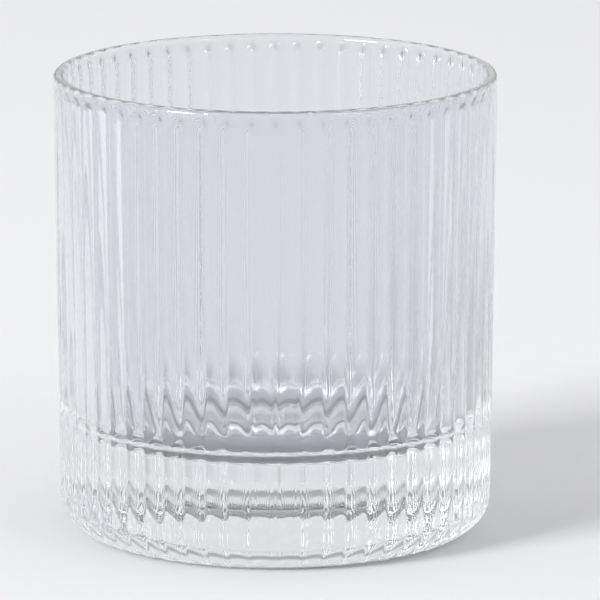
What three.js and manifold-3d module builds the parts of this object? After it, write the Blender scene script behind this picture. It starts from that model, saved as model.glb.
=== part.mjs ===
// A straight-sided tumbler of clear glass: one body with upright ribs round its outside, a smooth
// round well inside and a heavy base with a rounded heel. It stands on a ring round a shallow hollow.
// Millimetres, +Z up. The origin is on the axis, in the plane of the standing ring.
import * as THREE from "three";
import { mergeVertices } from "three/addons/utils/BufferGeometryUtils.js";
import Module from "manifold-3d";

const wasm = await Module();
wasm.setup();

// Body
const HEIGHT = 89;
const RIM_DIAMETER = 85; // over the rib crests, at the lip
const HEEL_DIAMETER = 83; // over the rib crests, where the wall meets the heel
const HEEL_RADIUS = 7;
const STANDING_RING_WIDTH = 2;
const HOLLOW_DEPTH = 3.6; // of the underside inside the standing ring, at the axis
const LIP_RADIUS = 0.9;
const LIP_SHARE = 0.45; // largest share of the rim's wall that one side of the lip may round off

// Well
const BASE_THICKNESS = 20; // from the standing ring to the floor of the well
const RIM_WALL = 2.1; // from rib crest to well, at the lip
const CORNER_WALL = 3.2; // from rib crest to well, where the wall meets the corner
const CORNER_RADIUS = 7; // of the round between the well's wall and its floor

// Ribs
const RIB_COUNT = 58;
const RIB_DEPTH = 0.8; // from crest to valley
const RIB_FADE = 3; // height under the lip over which the ribs die down
const RIB_AT_LIP = 0.1; // share of the depth that is left at the lip
const RIB_CREST_ANGLE = 0; // of one crest, in degrees from +X

// Fineness of the facets
const RIB_STEPS = 4;
const WELL_STEPS = 96;
const ARC_STEPS = 5;
const HOLLOW_STEPS = 5;
const FADE_STEPS = 2;
const CUT_MARGIN = 1; // the well is cut from this far above the lip
const MERGE_DISTANCE = 1e-4; // corners nearer than this are one corner

const rimRadius = RIM_DIAMETER / 2;
const heelRadius = HEEL_DIAMETER / 2;
const standingRadius = heelRadius - HEEL_RADIUS;
const hollowRadius = standingRadius - STANDING_RING_WIDTH;
const lipRadius = Math.min(LIP_RADIUS, LIP_SHARE * RIM_WALL);
const lipFoot = HEIGHT - lipRadius;
const fadeStart = lipFoot - RIB_FADE;
const cornerTop = BASE_THICKNESS + CORNER_RADIUS;

// Radius over the rib crests at a height on the wall, which leans out from heel to rim.
function crestRadius(z) {
  const rise = (z - HEEL_RADIUS) / (HEIGHT - HEEL_RADIUS);
  return heelRadius + (rimRadius - heelRadius) * rise;
}

// Radius of the well at a height on its wall, which thins from the corner to the rim.
function wellRadius(z) {
  const rise = (z - cornerTop) / (HEIGHT - cornerTop);
  return crestRadius(z) - (CORNER_WALL + (RIM_WALL - CORNER_WALL) * rise);
}

// Points of an arc about a centre in the (radius, height) plane, angles in degrees.
function arc(radius, height, size, from, to) {
  return Array.from({ length: ARC_STEPS + 1 }, (_, i) => {
    const angle = THREE.MathUtils.degToRad(from + ((to - from) * i) / ARC_STEPS);
    return new THREE.Vector2(radius + size * Math.cos(angle), height + size * Math.sin(angle));
  });
}

// The outside, from the middle of the underside to the middle of the mouth.
function outsideProfile() {
  const hollow = Array.from({ length: HOLLOW_STEPS + 1 }, (_, i) => {
    const share = i / HOLLOW_STEPS;
    return new THREE.Vector2(hollowRadius * share, HOLLOW_DEPTH * (1 - share * share));
  });
  const fade = Array.from({ length: FADE_STEPS }, (_, i) => {
    const z = fadeStart + (RIB_FADE * i) / FADE_STEPS;
    return new THREE.Vector2(crestRadius(z), z);
  });
  return [
    ...hollow,
    ...arc(standingRadius, HEEL_RADIUS, HEEL_RADIUS, -90, 0),
    ...fade,
    ...arc(crestRadius(lipFoot) - lipRadius, lipFoot, lipRadius, 0, 90),
    new THREE.Vector2(0, HEIGHT),
  ];
}

// The well, from the middle of its floor to the middle of the mouth, flared round the inside of the lip.
function wellProfile() {
  const cornerCentre = wellRadius(cornerTop) - CORNER_RADIUS;
  const lip = arc(wellRadius(lipFoot) + lipRadius, lipFoot, lipRadius, 180, 90);
  const mouth = lip[lip.length - 1].x;
  return [
    new THREE.Vector2(0, BASE_THICKNESS),
    ...arc(cornerCentre, cornerTop, CORNER_RADIUS, -90, 0),
    ...lip,
    new THREE.Vector2(mouth, HEIGHT + CUT_MARGIN),
    new THREE.Vector2(0, HEIGHT + CUT_MARGIN),
  ];
}

// Share of the rib depth that is left at a place on the outside: none underneath, all on the wall.
function ribStrength(radius, z) {
  if (z < HEEL_RADIUS) {
    return THREE.MathUtils.smoothstep(radius, standingRadius, heelRadius);
  }
  return 1 - (1 - RIB_AT_LIP) * THREE.MathUtils.smoothstep(z, fadeStart, lipFoot);
}

// Depth below the crest, as a share, at a turn about the axis: a round crest and a narrow valley.
function ribDrop(turn) {
  const crest = THREE.MathUtils.degToRad(RIB_CREST_ANGLE);
  return 1 - Math.abs(Math.cos((RIB_COUNT * (turn - crest)) / 2));
}

// Draws the valleys in from the crests, on all that lies outside the standing ring.
function carveRibs(geometry) {
  const position = geometry.getAttribute("position");
  for (let i = 0; i < position.count; i++) {
    const [x, y, z] = [position.getX(i), position.getY(i), position.getZ(i)];
    const radius = Math.hypot(x, y);
    if (radius <= standingRadius) continue;
    const drop = RIB_DEPTH * ribStrength(radius, z) * ribDrop(Math.atan2(y, x));
    position.setXY(i, x * (1 - drop / radius), y * (1 - drop / radius));
  }
}

// A turned form about +Z.
function turned(profile, steps) {
  return new THREE.LatheGeometry(profile, steps).rotateX(Math.PI / 2);
}

// A closed geometry as a solid for cutting.
function solid(geometry) {
  geometry.deleteAttribute("normal");
  geometry.deleteAttribute("uv");
  const merged = mergeVertices(geometry, MERGE_DISTANCE);
  const triVerts = new Uint32Array(merged.index.array);
  const vertProperties = merged.getAttribute("position").array;
  return new wasm.Manifold(new wasm.Mesh({ numProp: 3, vertProperties, triVerts }));
}

// A solid's faces as a geometry with flat shading.
function geometryOf(made) {
  const mesh = made.getMesh();
  const geometry = new THREE.BufferGeometry();
  geometry.setAttribute("position", new THREE.BufferAttribute(mesh.vertProperties, 3));
  geometry.setIndex(new THREE.BufferAttribute(mesh.triVerts, 1));
  const faceted = geometry.toNonIndexed();
  faceted.computeVertexNormals();
  return faceted;
}

function tumblerGeometry() {
  const outside = turned(outsideProfile(), RIB_COUNT * RIB_STEPS);
  carveRibs(outside);
  const well = turned(wellProfile(), WELL_STEPS);
  return geometryOf(solid(outside).subtract(solid(well)));
}

const glass = new THREE.MeshStandardMaterial({
  color: 0xdfe1e8,
  roughness: 0.04,
  metalness: 0,
  transparent: true,
  opacity: 0.35,
});

const tumbler = new THREE.Mesh(tumblerGeometry(), glass);
tumbler.name = "tumbler";

const object = new THREE.Group();
object.add(tumbler);

export default object;
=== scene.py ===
"""A ribbed tumbler of clear glass on a pale table in a soft studio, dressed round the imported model.

Lengths are in metres and +Z is up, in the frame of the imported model.
"""

import logging
import math
from dataclasses import dataclass
from enum import Enum, IntEnum
from itertools import pairwise
from typing import Any

import bpy
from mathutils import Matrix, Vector


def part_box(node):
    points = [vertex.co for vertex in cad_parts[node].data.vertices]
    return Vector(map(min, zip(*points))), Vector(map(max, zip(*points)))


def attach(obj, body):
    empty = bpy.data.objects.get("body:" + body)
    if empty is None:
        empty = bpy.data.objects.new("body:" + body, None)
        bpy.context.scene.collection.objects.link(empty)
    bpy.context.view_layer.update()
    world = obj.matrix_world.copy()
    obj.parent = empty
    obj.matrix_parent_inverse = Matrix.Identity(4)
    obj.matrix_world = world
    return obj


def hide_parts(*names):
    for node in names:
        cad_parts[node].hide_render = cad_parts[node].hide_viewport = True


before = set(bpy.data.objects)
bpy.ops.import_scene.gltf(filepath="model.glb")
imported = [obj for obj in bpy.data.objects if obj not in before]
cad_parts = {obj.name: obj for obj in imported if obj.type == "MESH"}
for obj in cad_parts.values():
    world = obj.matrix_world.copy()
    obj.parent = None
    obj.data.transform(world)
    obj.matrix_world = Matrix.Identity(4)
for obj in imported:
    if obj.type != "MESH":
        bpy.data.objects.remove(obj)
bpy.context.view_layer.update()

log = logging.getLogger("tumbler")

MM = 0.001
OPAQUE = 1.0
HALF_TURN = 180.0
DEGREES_PER_RADIAN = math.degrees(1)

# Directions in the plane of the section, in degrees from straight out
DOWN = -90
OUT = 0
UP = 90
IN = 180

Colour = tuple[float, float, float]
Point = tuple[float, float, float]


class Sum(Enum):
    """The sums that a Math node does in this scene's materials."""

    ADD = "ADD"
    SUBTRACT = "SUBTRACT"
    MULTIPLY = "MULTIPLY"
    ABSOLUTE = "ABSOLUTE"
    ARCSINE = "ARCSINE"
    ARCTAN2 = "ARCTAN2"
    WRAP = "WRAP"


class ColourMix(IntEnum):
    """The sockets of a Mix node that is set to colours."""

    SHARE = 0
    FIRST = 6
    SECOND = 7
    RESULT = 2


class Wire:
    """A value on its way between nodes: arithmetic on it adds Math nodes to its tree."""

    def __init__(self, nodes: "Nodes", socket: bpy.types.NodeSocket) -> None:
        """Wraps one output socket of a tree."""
        self.nodes = nodes
        self.socket = socket

    def sum(self, operation: Sum, *values: Any) -> "Wire":
        """Adds a Math node.

        Args:
            operation: What the node does.
            values: Its inputs in order, as numbers or wires.

        Returns:
            The node's result.
        """
        made = self.nodes.add("ShaderNodeMath", {"operation": operation.value}, dict(enumerate(values)))
        return self.nodes.wire(made, "Value")

    def __add__(self, other: Any) -> "Wire":
        """This value plus another."""
        return self.sum(Sum.ADD, self, other)

    def __radd__(self, other: Any) -> "Wire":
        """Another value plus this one."""
        return self.sum(Sum.ADD, other, self)

    def __sub__(self, other: Any) -> "Wire":
        """This value less another."""
        return self.sum(Sum.SUBTRACT, self, other)

    def __rsub__(self, other: Any) -> "Wire":
        """Another value less this one."""
        return self.sum(Sum.SUBTRACT, other, self)

    def __mul__(self, other: Any) -> "Wire":
        """This value times another."""
        return self.sum(Sum.MULTIPLY, self, other)

    def __rmul__(self, other: Any) -> "Wire":
        """Another value times this one."""
        return self.sum(Sum.MULTIPLY, other, self)

    def __abs__(self) -> "Wire":
        """This value without its sign."""
        return self.sum(Sum.ABSOLUTE, self)

    def step(self, low: float, high: float) -> "Wire":
        """A smooth step of this value.

        Args:
            low: Where the step leaves 0.
            high: Where the step reaches 1.

        Returns:
            The step, from 0 to 1.
        """
        made = self.nodes.add(
            "ShaderNodeMapRange",
            {"interpolation_type": "SMOOTHSTEP"},
            {"Value": self, "From Min": low, "From Max": high},
        )
        return self.nodes.wire(made, "Result")


class Nodes:
    """The node tree of a material or of the world, from empty."""

    def __init__(self, owner: Any) -> None:
        """Empties the tree of a material or world."""
        owner.use_nodes = True
        self.tree = owner.node_tree
        self.tree.nodes.clear()

    def add(self, kind: str, settings: dict[str, Any], inputs: dict[Any, Any]) -> bpy.types.Node:
        """Adds a node, sets it and feeds it.

        Args:
            kind: The node's type.
            settings: Properties of the node, set first.
            inputs: A value or wire for each named or numbered input.

        Returns:
            The node.
        """
        made = self.tree.nodes.new(kind)
        for name, value in settings.items():
            setattr(made, name, value)
        for key, value in inputs.items():
            if isinstance(value, Wire):
                self.tree.links.new(value.socket, made.inputs[key])
            else:
                made.inputs[key].default_value = value
        return made

    def wire(self, node: bpy.types.Node, output: Any) -> Wire:
        """One output of a node, by its name or number."""
        return Wire(self, node.outputs[output])

    def place(self, coordinates: str) -> Wire:
        """The place on a piece, or the direction into the world, in the named coordinates."""
        return self.wire(self.add("ShaderNodeTexCoord", {}, {}), coordinates)

    def noise(self, place: Wire, across: float, detail: float) -> Wire:
        """A soft noise over a piece.

        Args:
            place: Where on the piece.
            across: The size of its spots.
            detail: How many finer layers it has.

        Returns:
            The noise, about 0.5.
        """
        inputs = {"Vector": place, "Scale": 1 / across, "Detail": detail}
        return self.wire(self.add("ShaderNodeTexNoise", {}, inputs), "Fac")

    def mixed(self, share: Wire, first: Colour, second: Colour) -> Wire:
        """A colour between two colours.

        Args:
            share: The share of the second colour.
            first: The colour at 0.
            second: The colour at 1.

        Returns:
            The mixed colour.
        """
        inputs = {
            ColourMix.SHARE: share,
            ColourMix.FIRST: (*first, OPAQUE),
            ColourMix.SECOND: (*second, OPAQUE),
        }
        return self.wire(self.add("ShaderNodeMix", {"data_type": "RGBA"}, inputs), ColourMix.RESULT)


@dataclass(frozen=True)
class ClearGlass:
    """Clear pressed glass: a cool grey colour, partly the glass's own faint cast and partly painted
    shade for dimmer surroundings seen through it, a fire-polished skin and the slow waves of a mould.
    """

    name: str = "clear_glass"
    # Partly the glass's own faint cool cast, partly painted shade: these greys stand in for dimmer
    # surroundings seen through the glass
    cast: Colour = (0.874, 0.88, 0.902)
    deeper_painted_shade: Colour = (0.86, 0.866, 0.89)
    painted_shade_across: float = 40 * MM
    painted_shade_detail: float = 1.0
    clearness: float = 1.0
    ior: float = 1.5
    polish: float = 0.004
    dullness: float = 0.016
    dull_from: float = 0.4
    dull_to: float = 0.8
    dull_across: float = 9 * MM
    dull_detail: float = 2.0
    wave_across: float = 14 * MM
    wave_detail: float = 0.0
    wave_height: float = 0.03 * MM
    wave_strength: float = 1.0

    def material(self) -> bpy.types.Material:
        """Makes the material.

        Returns:
            The glass.
        """
        material = bpy.data.materials.new(self.name)
        nodes = Nodes(material)
        place = nodes.place("Object")
        # Painted shade: a soft noise moves the glass colour between the two painted greys
        painted_shade_noise = nodes.noise(place, self.painted_shade_across, self.painted_shade_detail)
        blotches = nodes.noise(place, self.dull_across, self.dull_detail)
        dull = blotches.step(self.dull_from, self.dull_to)
        waves = nodes.noise(place, self.wave_across, self.wave_detail)
        bump = nodes.add(
            "ShaderNodeBump",
            {},
            {"Height": waves, "Distance": self.wave_height, "Strength": self.wave_strength},
        )
        shader = nodes.add(
            "ShaderNodeBsdfPrincipled",
            {},
            {
                "Base Color": nodes.mixed(painted_shade_noise, self.cast, self.deeper_painted_shade),
                "Roughness": self.polish + self.dullness * dull,
                "Normal": nodes.wire(bump, "Normal"),
                "Transmission Weight": self.clearness,
                "IOR": self.ior,
            },
        )
        nodes.add("ShaderNodeOutputMaterial", {}, {"Surface": nodes.wire(shader, "BSDF")})
        return material


@dataclass(frozen=True)
class PaleTable:
    """A matt, pale table top with a barely seen mottle."""

    name: str = "pale_table"
    pale: Colour = (0.87, 0.873, 0.89)
    greyer: Colour = (0.855, 0.858, 0.876)
    mottle_across: float = 90 * MM
    mottle_detail: float = 3.0
    roughness: float = 0.9
    shine: float = 0.0

    def material(self) -> bpy.types.Material:
        """Makes the material.

        Returns:
            The table top.
        """
        material = bpy.data.materials.new(self.name)
        nodes = Nodes(material)
        mottle = nodes.noise(nodes.place("Object"), self.mottle_across, self.mottle_detail)
        shader = nodes.add(
            "ShaderNodeBsdfPrincipled",
            {},
            {
                "Base Color": nodes.mixed(mottle, self.pale, self.greyer),
                "Roughness": self.roughness,
                "Specular IOR Level": self.shine,
            },
        )
        nodes.add("ShaderNodeOutputMaterial", {}, {"Surface": nodes.wire(shader, "BSDF")})
        return material


def smooth_step(low: float, high: float, value: float) -> float:
    """A smooth step of a number.

    Args:
        low: Where the step leaves 0.
        high: Where the step reaches 1.
        value: The number.

    Returns:
        The step, from 0 to 1.
    """
    share = min(max((value - low) / (high - low), 0.0), 1.0)
    return share * share * (3 - 2 * share)


def arc(centre: tuple[float, float], size: float, start: float, end: float, steps: int) -> list[Vector]:
    """Points of an arc in the section's plane.

    Args:
        centre: Radius and height of its centre.
        size: Its radius.
        start: Its first angle, in degrees.
        end: Its last angle, in degrees.
        steps: How many straight lengths it has.

    Returns:
        The points, both ends with them.
    """
    radius, height = centre
    turns = [math.radians(start + (end - start) * step / steps) for step in range(steps + 1)]
    return [
        Vector((radius + size * math.cos(turn), 0, height + size * math.sin(turn)))
        for turn in turns
    ]


@dataclass
class Tumbler:
    """The glass in one body: ribs outside, a smooth well inside and a heavy base with a rounded heel."""

    name: str = "ribbed_tumbler"
    node: str = "tumbler"
    slot: str = "clear_glass"
    lean: float = 1.0 * MM
    heel_round: float = 7.0 * MM
    ring_width: float = 2.0 * MM
    hollow_depth: float = 3.6 * MM
    lip_round: float = 0.9 * MM
    base: float = 20.0 * MM
    rim_wall: float = 2.1 * MM
    corner_wall: float = 3.2 * MM
    corner_round: float = 7.0 * MM
    rib_count: int = 58
    rib_depth: float = 0.8 * MM
    rib_fade: float = 3.0 * MM
    rib_at_lip: float = 0.1
    valley_softness: float = 0.15  # roundness of a valley, 0 for a sharp one
    rib_half_steps: int = 8
    hollow_steps: int = 12
    heel_steps: int = 20
    corner_steps: int = 20
    lip_steps: int = 6
    fade_steps: int = 6
    hold: float = 0.4 * MM  # how near a bend the flat beside it has its first edge
    merge_within: float = 0.001 * MM

    def __post_init__(self) -> None:
        """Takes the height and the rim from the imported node."""
        low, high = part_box(self.node)
        self.height = high[2] - low[2]
        self.rim = (high[0] - low[0]) / 2
        self.heel = self.rim - self.lean
        self.standing = self.heel - self.heel_round
        self.hollow = self.standing - self.ring_width
        self.lip_foot = self.height - self.lip_round
        self.fade_foot = self.lip_foot - self.rib_fade
        self.corner_top = self.base + self.corner_round

    def crest(self, height: float) -> float:
        """The radius over the rib crests at a height on the wall."""
        return self.heel + self.lean * (height - self.heel_round) / (self.height - self.heel_round)

    def well(self, height: float) -> float:
        """The radius of the well at a height on its wall."""
        rise = (height - self.corner_top) / (self.height - self.corner_top)
        return self.crest(height) - (self.corner_wall + (self.rim_wall - self.corner_wall) * rise)

    def section(self) -> list[Vector]:
        """Half of the upright section, from the middle of the underside to that of the well's floor.

        Returns:
            The points in order, in the plane of X and Z.
        """
        shares = [step / self.hollow_steps for step in range(self.hollow_steps + 1)]
        hollow = [(self.hollow * share, self.hollow_depth * (1 - share**2)) for share in shares]
        rise = self.rib_fade / self.fade_steps
        fade = [self.fade_foot + rise * step for step in range(self.fade_steps)]
        wall_heights = [self.heel_round + self.hold, self.fade_foot - self.hold, *fade]
        well_heights = [self.lip_foot - self.hold, self.corner_top + self.hold]
        lip_outside = (self.crest(self.lip_foot) - self.lip_round, self.lip_foot)
        lip_inside = (self.well(self.lip_foot) + self.lip_round, self.lip_foot)
        corner = (self.well(self.corner_top) - self.corner_round, self.corner_top)
        return [
            *[Vector((radius, 0, height)) for radius, height in hollow],
            Vector((self.hollow + self.hold, 0, 0)),
            Vector((self.standing - self.hold, 0, 0)),
            *arc((self.standing, self.heel_round), self.heel_round, DOWN, OUT, self.heel_steps),
            *[Vector((self.crest(height), 0, height)) for height in wall_heights],
            *arc(lip_outside, self.lip_round, OUT, UP, self.lip_steps),
            *arc(lip_inside, self.lip_round, UP, IN, self.lip_steps),
            *[Vector((self.well(height), 0, height)) for height in well_heights],
            *arc(corner, self.corner_round, OUT, DOWN, self.corner_steps),
            Vector((corner[0] - self.hold, 0, self.base)),
            Vector((0, 0, self.base)),
        ]

    def rib_strength(self, radius: float, height: float) -> float:
        """The share of the rib depth at a place: all on the wall, less at the lip, none elsewhere.

        Args:
            radius: Distance from the axis, over the crests.
            height: Height above the table.

        Returns:
            The share, from 0 to 1.
        """
        if height < self.heel_round:
            return smooth_step(self.standing, self.heel, radius)
        crest = self.crest(min(height, self.lip_foot))
        at_lip = 1 - (1 - self.rib_at_lip) * smooth_step(self.fade_foot, self.lip_foot, height)
        return at_lip * smooth_step(crest - self.lip_round, crest, radius)

    def valley_drop(self, turn: float) -> float:
        """The depth below a crest, as a share, at a turn from it: crests are round and valleys narrow.

        Args:
            turn: Angle from the crest, in radians.

        Returns:
            The depth, from 0 to 1.
        """
        soft = self.valley_softness
        lobe = math.hypot(math.cos(self.rib_count * turn / 2), soft) - soft
        return 1 - lobe / (math.hypot(1, soft) - soft)

    def draw_section(self) -> bpy.types.Object:
        """Draws the section: one point, extruded from corner to corner.

        Returns:
            The piece, in edit mode.
        """
        bpy.ops.object.select_all(action="DESELECT")
        bpy.ops.mesh.primitive_plane_add(size=self.height, location=(0, 0, 0))
        piece = bpy.context.object
        piece.name = self.name
        piece.data.name = self.name
        bpy.ops.object.mode_set(mode="EDIT")
        bpy.ops.mesh.select_mode(type="VERT")
        bpy.ops.mesh.select_all(action="SELECT")
        bpy.ops.mesh.merge(type="CENTER")
        points = self.section()
        bpy.ops.transform.translate(value=points[0])
        for here, there in pairwise(points):
            bpy.ops.mesh.extrude_region_move(TRANSFORM_OT_translate={"value": there - here})
        return piece

    def spin_half_rib(self) -> None:
        """Turns the section from the middle of a crest to the middle of the next valley."""
        bpy.ops.mesh.select_all(action="SELECT")
        bpy.ops.mesh.spin(
            steps=self.rib_half_steps,
            angle=math.pi / self.rib_count,
            center=(0, 0, 0),
            axis=(0, 0, 1),
        )
        bpy.ops.object.mode_set(mode="OBJECT")

    def sink_valley(self, piece: bpy.types.Object) -> None:
        """Draws the half rib in towards its valley.

        Args:
            piece: The half rib.
        """
        for vertex in piece.data.vertices:
            place = vertex.co
            radius = math.hypot(place.x, place.y)
            if radius <= self.standing:
                continue
            drop = self.rib_depth * self.rib_strength(radius, place.z)
            drop *= self.valley_drop(math.atan2(place.y, place.x))
            place.xy *= 1 - drop / radius

    def repeat_rib(self, piece: bpy.types.Object) -> None:
        """Mirrors the half rib and copies the rib all the way round.

        Args:
            piece: The half rib.
        """
        mirror = piece.modifiers.new("other_half", "MIRROR")
        mirror.use_axis = (False, True, False)
        mirror.merge_threshold = self.merge_within
        bpy.ops.object.modifier_apply(modifier=mirror.name)
        bpy.ops.object.empty_add(location=(0, 0, 0), rotation=(0, 0, 2 * math.pi / self.rib_count))
        turn = bpy.context.object
        bpy.ops.object.select_all(action="DESELECT")
        piece.select_set(True)
        bpy.context.view_layer.objects.active = piece
        ring = piece.modifiers.new("all_round", "ARRAY")
        ring.count = self.rib_count
        ring.use_relative_offset = False
        ring.use_object_offset = True
        ring.offset_object = turn
        bpy.ops.object.modifier_apply(modifier=ring.name)
        bpy.data.objects.remove(turn)

    def close(self) -> None:
        """Joins the ribs into one skin that faces outwards and shades smoothly."""
        bpy.ops.object.mode_set(mode="EDIT")
        bpy.ops.mesh.select_all(action="SELECT")
        bpy.ops.mesh.remove_doubles(threshold=self.merge_within)
        bpy.ops.mesh.normals_make_consistent(inside=False)
        bpy.ops.object.mode_set(mode="OBJECT")
        bpy.ops.object.shade_smooth()

    def build(self, glass: ClearGlass) -> bpy.types.Object:
        """Models the glass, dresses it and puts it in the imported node's place.

        Args:
            glass: Its finish.

        Returns:
            The piece.
        """
        piece = self.draw_section()
        self.spin_half_rib()
        self.sink_valley(piece)
        self.repeat_rib(piece)
        self.close()
        piece.data.materials.append(glass.material())
        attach(piece, "root")
        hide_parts(self.node)
        return piece


@dataclass(frozen=True)
class SkyZone:
    """A patch of the studio, in degrees: azimuth 0 is behind the glass and 90 is on its right."""

    azimuth: float
    half_width: float
    low: float
    high: float
    light: float
    soft: float

    def share(self, azimuth: Wire, elevation: Wire) -> Wire:
        """How much of this patch a direction sees.

        Args:
            azimuth: The direction's azimuth.
            elevation: The direction's elevation.

        Returns:
            The share, from 0 outside to 1 inside.
        """
        upright = elevation.step(self.low - self.soft, self.low + self.soft)
        upright = upright * (1 - elevation.step(self.high - self.soft, self.high + self.soft))
        off = abs(azimuth.sum(Sum.WRAP, azimuth - self.azimuth, -HALF_TURN, HALF_TURN))
        return upright * (1 - off.step(self.half_width - self.soft, self.half_width + self.soft))


@dataclass(frozen=True)
class Studio:
    """The soft light all round the table: a plain level with a few brighter and darker patches."""

    level: float = 0.84
    cast: Colour = (1.0, 1.0, 1.0)
    bounces: int = 24
    zones: tuple[SkyZone, ...] = (
        SkyZone(azimuth=0, half_width=180, low=52, high=100, light=0.08, soft=12),
        SkyZone(azimuth=180, half_width=130, low=12, high=52, light=1.18, soft=4),
        SkyZone(azimuth=0, half_width=75, low=-5, high=8, light=0.42, soft=2),
    )

    def follow_long_paths(self) -> None:
        """Lets light bounce often enough to come out again wherever the ribs hold it in the wall."""
        cycles = bpy.context.scene.cycles
        cycles.max_bounces = self.bounces
        cycles.glossy_bounces = self.bounces
        cycles.transmission_bounces = self.bounces

    def light(self) -> None:
        """Makes the world."""
        world = bpy.data.worlds.new("studio")
        bpy.context.scene.world = world
        nodes = Nodes(world)
        parts = nodes.add("ShaderNodeSeparateXYZ", {}, {"Vector": nodes.place("Generated")})
        x, y, z = (nodes.wire(parts, axis) for axis in "XYZ")
        elevation = z.sum(Sum.ARCSINE, z) * DEGREES_PER_RADIAN
        azimuth = x.sum(Sum.ARCTAN2, x, y) * DEGREES_PER_RADIAN
        level: Any = self.level
        for zone in self.zones:
            level = level + zone.share(azimuth, elevation) * (zone.light - level)
        inputs = {"Vector": self.cast, "Scale": level}
        colour = nodes.add("ShaderNodeVectorMath", {"operation": "SCALE"}, inputs)
        background = nodes.add("ShaderNodeBackground", {}, {"Color": nodes.wire(colour, "Vector")})
        nodes.add("ShaderNodeOutputWorld", {}, {"Surface": nodes.wire(background, "Background")})


@dataclass(frozen=True)
class Softbox:
    """A square lamp that faces the glass."""

    name: str
    azimuth: float
    elevation: float
    distance: float
    across: float
    radiance: float

    def hang(self, aim: Vector) -> bpy.types.Object:
        """Makes the lamp.

        Args:
            aim: The point that it faces.

        Returns:
            The lamp.
        """
        azimuth = math.radians(self.azimuth)
        elevation = math.radians(self.elevation)
        level = math.cos(elevation)
        away = Vector((math.sin(azimuth) * level, math.cos(azimuth) * level, math.sin(elevation)))
        bpy.ops.object.light_add(type="AREA", location=aim + away * self.distance)
        lamp = bpy.context.object
        lamp.name = self.name
        lamp.rotation_euler = away.to_track_quat("Z", "Y").to_euler()
        lamp.data.shape = "SQUARE"
        lamp.data.size = self.across
        lamp.data.energy = self.radiance * math.pi * self.across**2
        return lamp


@dataclass(frozen=True)
class Table:
    """The flat, pale surface that the glass stands on."""

    name: str = "table_top"
    across: float = 30.0
    below: float = 0.1 * MM

    def lay(self, finish: PaleTable) -> bpy.types.Object:
        """Makes the table top.

        Args:
            finish: Its finish.

        Returns:
            The table top.
        """
        bpy.ops.object.select_all(action="DESELECT")
        bpy.ops.mesh.primitive_plane_add(size=self.across, location=(0, 0, 0))
        top = bpy.context.object
        top.name = self.name
        bpy.ops.object.mode_set(mode="EDIT")
        bpy.ops.mesh.select_all(action="SELECT")
        bpy.ops.transform.translate(value=(0, 0, -self.below))
        bpy.ops.object.mode_set(mode="OBJECT")
        top.data.materials.append(finish.material())
        return top


@dataclass(frozen=True)
class PhotoCamera:
    """The camera of the photograph: level, a long lens and a little above the glass."""

    name: str = "photo_camera"
    station: Point = (0.0, -1.5, 0.364)
    aim: Point = (0.0047203, 0.0, 0.0443688)
    sensor: float = 36.0
    lens: float = 478.6
    clip_end: float = 100.0

    def place(self) -> bpy.types.Object:
        """Makes the camera and gives it to the scene.

        Returns:
            The camera.
        """
        station = Vector(self.station)
        bpy.ops.object.camera_add(location=station)
        camera = bpy.context.object
        camera.name = self.name
        camera.rotation_euler = (Vector(self.aim) - station).to_track_quat("-Z", "Y").to_euler()
        camera.data.sensor_width = self.sensor
        camera.data.lens = self.lens
        camera.data.clip_end = self.clip_end
        bpy.context.scene.camera = camera
        return camera


SOFTBOXES = (
    Softbox(name="right_softbox", azimuth=140, elevation=22, distance=3.0, across=0.5, radiance=6.0),
    Softbox(name="left_softbox", azimuth=-130, elevation=20, distance=3.0, across=0.95, radiance=30.0),
)


def main() -> None:
    """Builds the camera, the glass, the table and the light in order, and reports each."""
    logging.basicConfig(level=logging.INFO, format="%(name)s: %(message)s")
    camera = PhotoCamera().place()
    log.info("camera %s at %s", camera.name, tuple(camera.location))
    glass = Tumbler()
    piece = glass.build(ClearGlass())
    log.info("piece %s: %d faces", piece.name, len(piece.data.polygons))
    top = Table().lay(PaleTable())
    log.info("stage %s", top.name)
    studio = Studio()
    studio.light()
    studio.follow_long_paths()
    log.info("studio with %d patches of light", len(studio.zones))
    for box in SOFTBOXES:
        lamp = box.hang(Vector((0, 0, glass.height / 2)))
        log.info("lamp %s", lamp.name)
    bpy.context.scene.view_settings.view_transform = "Standard"


if __name__ == "__main__":
    main()
